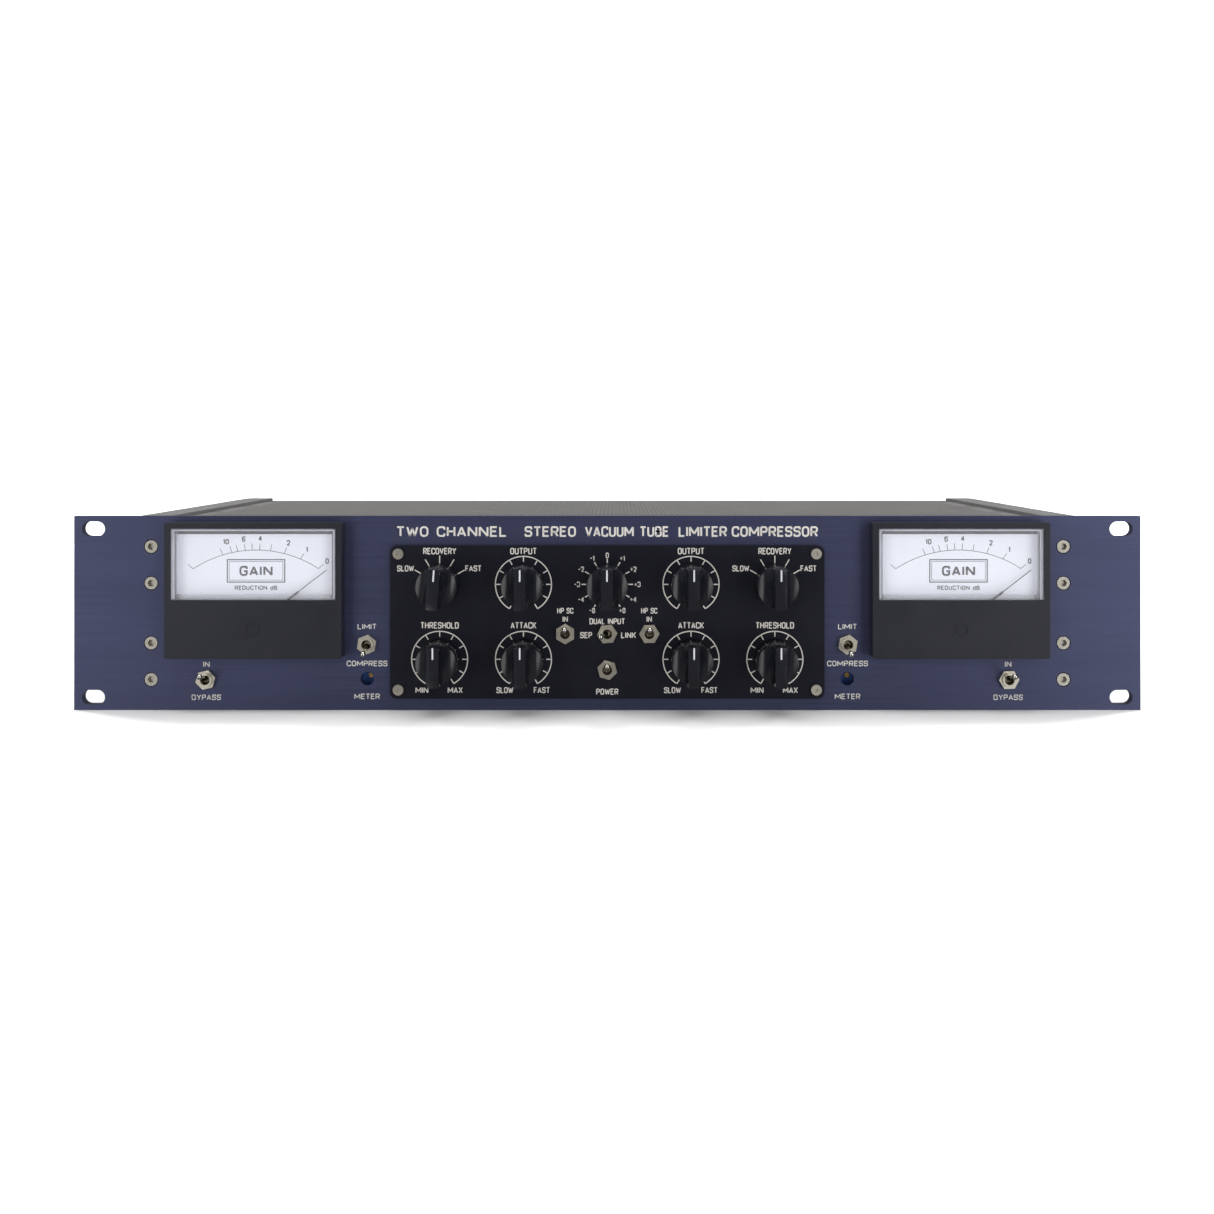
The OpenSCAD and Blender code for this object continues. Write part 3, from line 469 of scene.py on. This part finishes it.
# Each glyph is a width and its strokes. Points are (x, y) with x from 0 to 1 over the width and y from 0
# to 1 over the capital height; a third value of 1 rounds that corner. A stroke that ends in "o" is closed.
R = 1
LOOP = [(0, 0, R), (0, 1, R), (1, 1, R), (1, 0, R), "o"]
BOWL = [(0, 1), (1, 1, R), (1, 0.46, R), (0, 0.46)]
GLYPHS = {
    "A": (1.1, [(0, 0), (0.5, 1), (1, 0)], [(0.2, 0.28), (0.8, 0.28)]),
    "B": (1.0, [(0, 0), (0, 1)], [(0, 1), (0.92, 1, R), (0.92, 0.53, R), (0, 0.53)],
          [(0, 0.53), (1, 0.53, R), (1, 0, R), (0, 0)]),
    "C": (1.0, [(1, 0.72), (1, 1, R), (0, 1, R), (0, 0, R), (1, 0, R), (1, 0.28)]),
    "D": (1.0, [(0, 0), (0, 1), (1, 1, R), (1, 0, R), (0, 0), "o"]),
    "E": (0.88, [(1, 1), (0, 1), (0, 0), (1, 0)], [(0, 0.53), (0.86, 0.53)]),
    "F": (0.84, [(1, 1), (0, 1), (0, 0)], [(0, 0.51), (0.86, 0.51)]),
    "G": (1.0, [(1, 0.74), (1, 1, R), (0, 1, R), (0, 0, R), (1, 0, R), (1, 0.46), (0.55, 0.46)]),
    "H": (1.0, [(0, 0), (0, 1)], [(1, 0), (1, 1)], [(0, 0.52), (1, 0.52)]),
    "I": (0.0, [(0, 0), (0, 1)]),
    "K": (1.0, [(0, 0), (0, 1)], [(1, 1), (0, 0.34)], [(0.36, 0.58), (1, 0)]),
    "L": (0.84, [(0, 1), (0, 0), (1, 0)]),
    "M": (1.5, [(0, 0), (0, 1), (0.5, 0.25), (1, 1), (1, 0)]),
    "N": (1.15, [(0, 0), (0, 1), (1, 0), (1, 1)]),
    "O": (1.0, LOOP),
    "P": (0.96, [(0, 0), (0, 1)], BOWL),
    "R": (1.0, [(0, 0), (0, 1)], BOWL, [(0.5, 0.46), (1, 0)]),
    "S": (0.96, [(1, 0.75), (1, 1, R), (0, 1, R), (0, 0.53, R), (1, 0.53, R), (1, 0, R), (0, 0, R),
                 (0, 0.25)]),
    "T": (1.0, [(0, 1), (1, 1)], [(0.5, 1), (0.5, 0)]),
    "U": (1.0, [(0, 1), (0, 0, R), (1, 0, R), (1, 1)]),
    "V": (1.1, [(0, 1), (0.5, 0), (1, 1)]),
    "W": (1.5, [(0, 1), (0.26, 0), (0.5, 0.9), (0.74, 0), (1, 1)]),
    "X": (1.05, [(0, 0), (1, 1)], [(0, 1), (1, 0)]),
    "Y": (1.05, [(0, 1), (0.5, 0.46), (1, 1)], [(0.5, 0.46), (0.5, 0)]),
    "d": (0.85, [(1, 1), (1, 0)], [(0, 0, R), (0, 0.66, R), (1, 0.66, R), (1, 0, R), "o"]),
    "0": (0.9, LOOP),
    "1": (0.32, [(0, 0.76), (1, 1), (1, 0)]),
    "2": (0.9, [(0, 0.74), (0, 1, R), (1, 1, R), (1, 0.6, R), (0, 0), (1, 0)]),
    "3": (0.9, [(0, 0.77), (0, 1, R), (1, 1, R), (1, 0.53, R), (0.4, 0.53)],
          [(0.4, 0.53), (1, 0.53, R), (1, 0, R), (0, 0, R), (0, 0.23)]),
    "4": (1.0, [(0.74, 0), (0.74, 1), (0, 0.3), (1, 0.3)]),
    "6": (0.9, [(1, 0.78), (1, 1, R), (0, 1, R), (0, 0, R), (1, 0, R), (1, 0.57, R), (0, 0.57)]),
    "8": (0.9, [(0.06, 0.53, R), (0.06, 1, R), (0.94, 1, R), (0.94, 0.53, R), "o"],
          [(0, 0, R), (0, 0.53, R), (1, 0.53, R), (1, 0, R), "o"]),
    "+": (0.8, [(0, 0.5), (1, 0.5)], [(0.5, 0.2), (0.5, 0.8)]),
    "-": (0.6, [(0, 0.5), (1, 0.5)]),
    " ": (0.5,),
}


def eased(points, closed, radius, steps=5):
    """A stroke's path with its marked corners rounded."""
    path = []
    count = len(points)
    for i, (x, y, marked) in enumerate(points):
        inner = closed or 0 < i < count - 1
        if not (marked and inner):
            path.append((x, y))
            continue
        here = Vector((x, y))
        arms = [Vector(points[(i + k) % count][:2]) - here for k in (-1, 1)]
        reach = min(radius, *(arm.length * 0.5 for arm in arms))
        a, b = (here + arm.normalized() * reach for arm in arms)
        for k in range(steps + 1):
            t = k / steps
            bend = a * (1 - t) ** 2 + here * 2 * t * (1 - t) + b * t ** 2
            path.append(tuple(bend))
    return [p for i, p in enumerate(path) if i == 0 or (Vector(p) - Vector(path[i - 1])).length > 1e-6]


def cut_back_turns(path, closed):
    """The path cut where it turns back sharply, so that each ribbon keeps its width."""
    if closed:
        return [path]
    parts = [[path[0]]]
    for a, b, c in zip(path, path[1:], path[2:]):
        parts[-1].append(b)
        into, out = Vector(b) - Vector(a), Vector(c) - Vector(b)
        if into.normalized().dot(out.normalized()) < -0.1:
            parts.append([b])
    parts[-1].append(path[-1])
    return parts


# Half the thickness of a printed mark, in millimetres
INK = 0.012
# Letter width, gap and stroke, as parts of the capital height
NARROW = (0.46, 0.23, 0.155)
PLAIN = (0.62, 0.30, 0.15)
TITLE = (0.60, 0.30, 0.17)
DIAL = (0.60, 0.34, 0.19)
NUMERAL = (0.50, 0.28, 0.2)


class Print:
    """Printed marks gathered into one thin piece on a flat surface."""

    def __init__(self, name):
        self.name = name
        self.bm = bmesh.new()

    def stroke(self, path, width, closed):
        """A flat ribbon of even width along a path, mitred at its corners."""
        count = len(path)
        points = [Vector(p) for p in path]
        sides = []
        for i, point in enumerate(points):
            before = points[i - 1] if closed or i else None
            after = points[(i + 1) % count] if closed or i < count - 1 else None
            into = (point - before).normalized() if before is not None else (after - point).normalized()
            out = (after - point).normalized() if after is not None else into
            normal = Vector((-into.y - out.y, into.x + out.x))
            normal = normal.normalized() if normal.length > 1e-6 else Vector((-into.y, into.x))
            spread = max(0.7, normal.dot(Vector((-into.y, into.x))))
            offset = normal * (width / 2 / spread)
            edges = [(point + offset * s, z) for s, z in ((1, INK), (-1, INK), (-1, -INK), (1, -INK))]
            sides.append([self.bm.verts.new((p.x * MM, p.y * MM, z * MM)) for p, z in edges])
        for i in range(count if closed else count - 1):
            a, b = sides[i], sides[(i + 1) % count]
            for k in range(4):
                self.bm.faces.new((a[k], a[(k + 1) % 4], b[(k + 1) % 4], b[k]))
        if not closed:
            self.bm.faces.new(sides[0])
            self.bm.faces.new(sides[-1][::-1])

    def text(self, text, x, y, cap, style, span=None):
        """Capitals in even strokes, centred; a span in millimetres stretches the line to fit."""
        letter_w, letter_gap, weight = style
        stroke = weight * cap
        widths = [GLYPHS[c][0] * letter_w for c in text]
        total = sum(widths) + letter_gap * (len(text) - 1)
        stretch = (span - stroke) / (total * cap) if span else 1.0
        at = x - total * cap * stretch / 2
        height = cap - stroke
        for char, glyph_w in zip(text, widths):
            for strokes in GLYPHS[char][1:]:
                closed = strokes[-1] == "o"
                points = [p for p in strokes if p != "o"]
                if closed and points[0][:2] == points[-1][:2]:
                    points.pop()
                scaled = [(at + p[0] * glyph_w * cap * stretch, y - height / 2 + p[1] * height, len(p) == 3)
                          for p in points]
                for part in cut_back_turns(eased(scaled, closed, letter_w * cap * 0.6), closed):
                    self.stroke(part, stroke, closed)
            at += (glyph_w + letter_gap) * cap * stretch

    def shape(self, outline):
        add_prism(self.bm, outline, -INK, INK)

    def line(self, x0, y0, x1, y1, w):
        d = Vector((x1 - x0, y1 - y0)).normalized() * (w / 2)
        self.shape([(x0 + d.y, y0 - d.x), (x1 + d.y, y1 - d.x), (x1 - d.y, y1 + d.x), (x0 - d.y, y0 + d.x)])

    def ray(self, x, y, angle, r0, r1, w):
        """A line outwards from a centre; the angle is clockwise from straight up."""
        a = math.radians(angle)
        self.line(x + r0 * math.sin(a), y + r0 * math.cos(a), x + r1 * math.sin(a), y + r1 * math.cos(a), w)

    def arc(self, x, y, r, w, start, end, steps=64):
        """An arc from start to end, clockwise from straight up."""
        outer = [math.radians(start + (end - start) * i / steps) for i in range(steps + 1)]
        points = [(x + (r + w / 2) * math.sin(a), y + (r + w / 2) * math.cos(a)) for a in outer]
        points += [(x + (r - w / 2) * math.sin(a), y + (r - w / 2) * math.cos(a)) for a in reversed(outer)]
        self.shape(points)

    def frame(self, x, y, w, h, line):
        for s in (-1, 1):
            self.line(x - w / 2, y + s * (h - line) / 2, x + w / 2, y + s * (h - line) / 2, line)
            self.line(x + s * (w - line) / 2, y - h / 2, x + s * (w - line) / 2, y + h / 2, line)

    def done(self, material, y, base=OUT_FRONT, body="root"):
        bmesh.ops.recalc_face_normals(self.bm, faces=self.bm.faces)
        mesh = bpy.data.meshes.new(self.name)
        self.bm.to_mesh(mesh)
        self.bm.free()
        obj = bpy.data.objects.new(self.name, mesh)
        bpy.context.scene.collection.objects.link(obj)
        place(obj, base, 0, y, 0)
        return finish_piece(obj, M[material], body)


def knob_scales(plate, column, top, low):
    """Rings and ticks around the knobs, and the numbers of the dual input."""
    ring_r, line = 12.65, 0.48
    for s in (-1, 1):
        for x, z in ((column, top), (column, low), (2 * column, low)):
            plate.arc(s * x, z, ring_r, line, -150, 150)
            for i in range(-5, 6):
                plate.ray(s * x, z, 30 * i, 10.2, ring_r, line)
        for i in range(-2, 3):
            plate.ray(s * 2 * column, top, 30 * i, 9.5, 13.0, line)
    for i, number in enumerate("84321012348"):
        angle = 30 * (i - 5)
        plate.ray(0, top, angle, 9.6, 11.6, 0.5)
        sign = "" if i == 5 else ("-" if i < 5 else "+")
        reach = 13.1 if i == 5 else 13.6
        a = math.radians(angle)
        plate.text(sign + number, reach * math.sin(a), top + reach * math.cos(a), 2.45, NARROW)


def build_legends():
    column = JOINTS["knob_output_right"]["pos_m"][0] / MM
    top = JOINTS["knob_output_right"]["pos_m"][2] / MM
    low = JOINTS["knob_attack_right"]["pos_m"][2] / MM
    cap, small = 2.95, 2.75
    plate = Print("control_plate_legends")
    knob_scales(plate, column, top, low)
    above, below, beside = 15.0, -13.9, 7.2
    for s in (-1, 1):
        far, near = s * 2 * column, s * column
        plate.text("RECOVERY", far, top + above, cap, NARROW, 14.9)
        plate.text("SLOW", far - 15.4, top + beside, small, NARROW, 7.6)
        plate.text("FAST", far + 15.2, top + beside, small, NARROW, 7.3)
        plate.text("OUTPUT", near, top + above, cap, NARROW, 12.0)
        plate.text("THRESHOLD", far, low + above + 0.3, cap, NARROW, 17.3)
        plate.text("ATTACK", near, low + above + 0.3, cap, NARROW, 11.6)
        plate.text("MIN", far - 8.0, low + below, small, NARROW, 5.8)
        plate.text("MAX", far + 7.0, low + below, small, NARROW, 6.7)
        plate.text("SLOW", near - 8.4, low + below, small, NARROW, 7.6)
        plate.text("FAST", near + 8.3, low + below, small, NARROW, 7.3)
        switch = JOINTS["lever_sidechain_right"]["pos_m"]
        plate.text("HP SC", s * switch[0] / MM, switch[2] / MM + 10.3, 2.6, NARROW, 7.3)
        plate.text("IN", s * switch[0] / MM, switch[2] / MM + 6.5, 2.6, NARROW)
    link_z = JOINTS["lever_link"]["pos_m"][2] / MM
    power_z = JOINTS["lever_power"]["pos_m"][2] / MM
    plate.text("DUAL INPUT", 0, link_z + 5.55, small, NARROW, 16.0)
    plate.text("SEP", -9.5, link_z - 0.7, small, NARROW, 5.4)
    plate.text("LINK", 9.6, link_z - 0.7, small, NARROW, 6.7)
    plate.text("POWER", 0, power_z - 10.0, small, NARROW, 10.0)
    plate.done("print", PLATE_Y - INK * MM)

    panel = Print("front_panel_legends")
    title_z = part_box("front_panel")[1].z / MM - 7.0
    for words, centre, span in (("TWO CHANNEL", -70.5, 50.0), ("STEREO", -25.8, 23.2),
                                ("VACUUM TUBE", 8.9, 38.0), ("LIMITER", 43.2, 21.9),
                                ("COMPRESSOR", 75.8, 39.0)):
        panel.text(words, centre, title_z, 4.8, TITLE, span)
    limit = JOINTS["lever_limit_right"]["pos_m"]
    bypass = JOINTS["lever_bypass_right"]["pos_m"]
    for s in (-1, 1):
        x, z = s * limit[0] / MM, limit[2] / MM
        panel.text("LIMIT", x, z + 8.0, 2.5, PLAIN)
        panel.text("COMPRESS", x, z - 8.7, 2.5, PLAIN)
        panel.text("METER", x, z - 23.6, 2.5, PLAIN)
        x, z = s * bypass[0] / MM, bypass[2] / MM
        panel.text("IN", x, z + 6.9, 2.5, PLAIN)
        panel.text("BYPASS", x, z - 8.1, 2.5, PLAIN, 13.2)
    panel.done("print", PANEL_Y - INK * MM)


def build_rear_legends():
    """Generic words under and over the connectors; the rear frame's x runs the other way."""
    back = Print("rear_panel_legends")

    def word(text, x, z, cap=2.6):
        back.text(text, -x / MM, z, cap, PLAIN)

    def at(name):
        return MOUNTS[name]["pos_m"][0]

    for side in SIDES:
        word("INPUT", at(f"xlr_in_{side}"), -19.5)
        word("OUTPUT", at(f"xlr_out_{side}"), -19.5)
        word(side.upper(), (at(f"xlr_in_{side}") + at(f"xlr_out_{side}")) / 2, 20.5, 3.0)
    word("SIDECHAIN", at("jack_upper"), 25.5)
    word("MAINS", at("mains_inlet"), -16.5)
    word("FUSE", JOINTS["fuse_cap"]["pos_m"][0], -13.5)
    word("GND", at("ground_stud"), -13.5)
    back.done("ink", REAR_Y + INK * MM, OUT_REAR)


# ---- Meters ----

# Angle in degrees from straight up, and the number printed there
TICKS = [(48.1, "0"), (34.0, "1"), (21.6, "2"), (11.0, ""), (2.8, "4"), (-2.9, ""), (-8.2, "6"), (-14.0, ""),
         (-18.5, "10"), (-25.3, ""), (-48.4, "")]


def build_meter(side):
    """A meter's printed scale, and its clear window in place of the CAD one, with strips of painted highlight and
    painted shade on the window's walls.
    """
    low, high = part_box(f"meter_case_{side}")
    x = (low.x + high.x) / 2 / MM
    dial_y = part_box(f"meter_dial_{side}")[0].y
    pivot = JOINTS[f"needle_{side}"]["pos_m"]
    px, pz = pivot[0] / MM, pivot[2] / MM
    arc_r, arc_drop, line = 51.5, 17.8, 0.28
    marks = Print(f"meter_{side}_scale")
    half = math.degrees(math.asin(28.3 / arc_r))
    marks.arc(px, pz - arc_drop, arc_r, line, -half, half)
    for angle, number in TICKS:
        a = math.radians(angle)
        reach = arc_drop * -math.cos(a) + math.sqrt(arc_r ** 2 - (arc_drop * math.sin(a)) ** 2)
        marks.ray(px, pz, angle, reach, reach + 3.0, line)
        if number:
            r = reach + 5.2
            aside = -1.0 if number == "10" else 0.0
            marks.text(number, px + aside + r * math.sin(a), pz + r * math.cos(a), 2.5, NUMERAL)
    label_z = pz + 24.3
    marks.frame(px, label_z, 26.4, 10.6, 0.5)
    marks.frame(px, label_z, 24.4, 8.6, 0.22)
    marks.text("GAIN", px, label_z, 4.6, NUMERAL, 15.0)
    marks.text("REDUCTION dB", px, pz + 16.7, 2.0, DIAL, 19.2)
    marks.done("ink", dial_y - INK * MM)

    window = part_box(f"meter_window_{side}")
    w = (window[1].x - window[0].x) / MM
    h = (window[1].z - window[0].z) / MM
    zc = (window[1].z + window[0].z) / 2 / MM
    front = window[0].y
    depth = (window[1].y - window[0].y) / MM
    pane_t = 1.2
    pane = prism(f"meter_{side}_pane", rounded_rect(w, h, 0.6), -pane_t, 0)
    place(pane, OUT_FRONT, x * MM, front, zc * MM)
    bevel(pane, 0.2, 2)
    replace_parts(finish_piece(pane, M["pane"], "root"), f"meter_window_{side}")

    # The third width is that of the dark painted-shade strip inside the walls
    wall, lip, shade_line = 1.5, 1.1, 0.4

    def around(inset, width, top_width, z0, z1, name, material):
        """Strip along the left, top and right of the window, open at the bottom."""
        x0, x1, y0 = w / 2 - inset, w / 2 - inset - width, -h / 2
        y1, y2 = h / 2 - inset, h / 2 - inset - top_width
        outline = [(-x0, y0), (-x1, y0), (-x1, y2), (x1, y2), (x1, y0), (x0, y0), (x0, y1), (-x0, y1)]
        strip = prism(name, outline, z0, z1)
        place(strip, OUT_FRONT, x * MM, front, zc * MM)
        finish_piece(strip, M[material], "root")

    # The clear walls are drawn as a light strip of painted highlight, with dark lines of painted shade at their
    # inner and front edges
    around(0, wall, lip, 0.1 - depth, -pane_t - 0.05, f"meter_{side}_rim", "rim")
    around(wall, shade_line, shade_line, -2.2, -pane_t - 0.05, f"meter_{side}_rim_painted_dark_line", "shade_line")
    around(0.05, 0.25, 0.25, -0.02, 0.02, f"meter_{side}_rim_painted_front_shade", "shade_line")
    # The ledge's near-white colour is a painted highlight on clear acrylic
    ledge_h, inner_w, ledge_z = 2.1, w - 2 * (wall + shade_line), -4.35
    ledge = prism(f"meter_{side}_ledge", rounded_rect(inner_w, ledge_h, 0.3), ledge_z - 0.9, ledge_z)
    place(ledge, OUT_FRONT, x * MM, front, (zc - h / 2 + ledge_h / 2) * MM)
    bevel(ledge, 0.15, 2)
    finish_piece(ledge, M["ledge"], "root")
    # Dark rings at the ledge's ends, in the painted-shade line material
    pegs = Print(f"meter_{side}_pegs")
    for k in (-1, 1):
        pegs.arc(x + k * (inner_w / 2 - 0.2), zc - h / 2 + ledge_h / 2, 0.75, 0.3, 0, 360, 32)
    pegs.done("shade_line", front - (ledge_z + 0.03) * MM)

    ridge = [(2.55, -0.1), (2.55, 0.12), (2.75, 0.22), (3.0, 0.12), (3.0, -0.1)]
    zero_cap = lathe(f"meter_{side}_zero_cap", ridge, 48)
    place(zero_cap, OUT_FRONT, x * MM, low.y, (pz - 1.2) * MM)
    finish_piece(zero_cap, M["case"], "root")


# ---- Top cover ----

def perforated_cover():
    """Sheet with fine staggered round holes; the outer margin is plain."""
    low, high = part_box("top_cover")
    pitch_x, pitch_y, hole = 4.0, 3.5, 1.05
    margin = 5.0
    x0, x1 = low.x / MM, high.x / MM
    y0, y1 = low.y / MM, high.y / MM
    columns = int((x1 - x0 - 2 * margin) / pitch_x) - 1
    rows = int((y1 - y0 - 2 * margin) / pitch_y)
    rows -= rows % 2
    left = (x0 + x1) / 2 - columns * pitch_x / 2
    front = (y0 + y1) / 2 - rows * pitch_y / 2
    top, bottom = high.z / MM, low.z / MM
    bm = bmesh.new()
    verts = {}

    def vert(x, y, z):
        key = (round(x, 3), round(y, 3), z)
        if key not in verts:
            verts[key] = bm.verts.new((x * MM, y * MM, z * MM))
        return verts[key]

    def quad(points, z, flip):
        corners = [vert(px, py, z) for px, py in points]
        bm.faces.new(corners[::-1] if flip else corners)

    around = [(1, 0), (1, 1), (0, 1), (-1, 1), (-1, 0), (-1, -1), (0, -1), (1, -1)]
    for row in range(rows):
        shift = pitch_x / 2 if row % 2 else 0
        for column in range(columns - (row % 2)):
            cx = left + (column + 0.5) * pitch_x + shift
            cy = front + (row + 0.5) * pitch_y
            ring = [(cx + hole * math.cos(math.radians(45 * i)), cy + hole * math.sin(math.radians(45 * i)))
                    for i in range(8)]
            edge = [(cx + dx * pitch_x / 2, cy + dy * pitch_y / 2) for dx, dy in around]
            for i in range(8):
                j = (i + 1) % 8
                quad([ring[i], edge[i], edge[j], ring[j]], top, False)
                quad([ring[i], edge[i], edge[j], ring[j]], bottom, True)
                bm.faces.new([vert(*ring[i], top), vert(*ring[j], top), vert(*ring[j], bottom),
                              vert(*ring[i], bottom)])
        if row % 2:
            for x in (left, left + columns * pitch_x - shift):
                ys = (front + row * pitch_y, front + (row + 0.5) * pitch_y, front + (row + 1) * pitch_y)
                for a, b in zip(ys, ys[1:]):
                    pts = [(x, a), (x + shift, a), (x + shift, b), (x, b)]
                    quad(pts, top, False)
                    quad(pts, bottom, True)
    right = left + columns * pitch_x
    back = front + rows * pitch_y
    border_x = [left + i * pitch_x / 2 for i in range(2 * columns + 1)]
    border_y = [front + i * pitch_y / 2 for i in range(2 * rows + 1)]
    for z, flip in ((top, False), (bottom, True)):
        for a, b in zip(border_x, border_x[1:]):
            quad([(a, y0), (b, y0), (b, front), (a, front)], z, flip)
            quad([(a, back), (b, back), (b, y1), (a, y1)], z, flip)
        for a, b in zip(border_y, border_y[1:]):
            quad([(x0, a), (left, a), (left, b), (x0, b)], z, flip)
            quad([(right, a), (x1, a), (x1, b), (right, b)], z, flip)
        for xa, xb in ((x0, left), (right, x1)):
            quad([(xa, y0), (xb, y0), (xb, front), (xa, front)], z, flip)
            quad([(xa, back), (xb, back), (xb, y1), (xa, y1)], z, flip)
    rim = [(x, y0) for x in [x0] + border_x + [x1]]
    rim += [(x1, y) for y in border_y + [y1]]
    rim += [(x, y1) for x in ([x0] + border_x)[::-1]]
    rim += [(x0, y) for y in border_y[::-1]]
    for a, b in zip(rim, rim[1:] + rim[:1]):
        if a != b:
            bm.faces.new([vert(*a, bottom), vert(*b, bottom), vert(*b, top), vert(*a, top)])
    obj = mesh_object("top_cover_perforated", bm, False)
    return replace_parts(finish_piece(obj, M["cover"], "root"), "top_cover")


# ---- Stage ----

def build_stage():
    """A pale paper floor that curves up behind; it stays out of reflections, so glossy parts read dark."""
    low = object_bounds()[0]
    bm = bmesh.new()
    size, depth, bend = 6.0, 3.0, 1.2
    profile = [(-4.0, 0.0), (depth - bend, 0.0)]
    profile += [(depth - bend + bend * math.sin(math.radians(a)), bend - bend * math.cos(math.radians(a)))
                for a in range(10, 91, 10)]
    profile += [(depth, 4.0)]
    rows = [[bm.verts.new((sx * size, y, z + low.z)) for y, z in profile] for sx in (-1, 1)]
    for i in range(len(profile) - 1):
        bm.faces.new((rows[0][i], rows[1][i], rows[1][i + 1], rows[0][i + 1]))
    floor = mesh_object("studio_floor", bm)
    paper = Surface("studio_paper", (0.92, 0.92, 0.92), 0.7)
    fleck = paper.noise(40, 3)
    paper.paint(paper.tint(fleck, 0.01))
    floor.data.materials.append(paper.mat)
    floor.visible_glossy = False
    floor.visible_shadow = False


def area_light(name, position, target, size, energy):
    data = bpy.data.lights.new(name, "AREA")
    data.shape = "RECTANGLE"
    data.size, data.size_y = size
    data.energy = energy
    obj = bpy.data.objects.new(name, data)
    obj.location = position
    obj.rotation_euler = (Vector(target) - Vector(position)).to_track_quat("-Z", "Y").to_euler()
    bpy.context.scene.collection.objects.link(obj)


def build_lights():
    """Soft boxes at both sides and above, a lit backdrop, and a dim room in front of the panel."""
    world = bpy.data.worlds.new("studio")
    world.use_nodes = True
    background = world.node_tree.nodes["Background"]
    background.inputs["Color"].default_value = (1, 1, 1, 1)
    background.inputs["Strength"].default_value = 0.2
    bpy.context.scene.world = world
    area_light("left_box", (-1.1, -1.3, 0.1), (0, 0, 0), (0.8, 1.6), 8.5)
    area_light("right_box", (1.1, -1.3, 0.1), (0, 0, 0), (0.8, 1.6), 11.5)
    area_light("top_box", (0, -0.1, 1.6), (0, 0.1, 0), (1.8, 1.3), 25)
    area_light("front_fill", (0, -2.2, 1.5), (0, 0, 0), (1.4, 0.8), 2)
    for s in (-1, 1):
        area_light("backdrop_light", (s * 1.6, 0.9, 2.0), (s * 0.4, 3.0, 0.6), (1.2, 0.8), 90)


def build_camera():
    """Level camera in front and a little above; the shift keeps the uprights parallel."""
    focal_px, frame_px, sensor = 1413, 1214, 36
    distance, height, across = 0.6394, 0.079, 0.0035
    data = bpy.data.cameras.new("camera")
    data.sensor_width = sensor
    data.lens = focal_px / frame_px * sensor
    data.shift_x = -0.0066
    data.shift_y = -0.1388
    data.clip_start = 0.01
    obj = bpy.data.objects.new("camera", data)
    obj.location = (across, PANEL_Y - distance, height)
    obj.rotation_euler = (math.radians(90), 0, 0)
    bpy.context.scene.collection.objects.link(obj)
    bpy.context.scene.camera = obj


build_knobs()
build_levers()
build_legends()
build_rear_legends()
for side in SIDES:
    build_meter(side)
perforated_cover()
build_stage()
build_lights()
build_camera()
bpy.context.scene.view_settings.view_transform = "Standard"
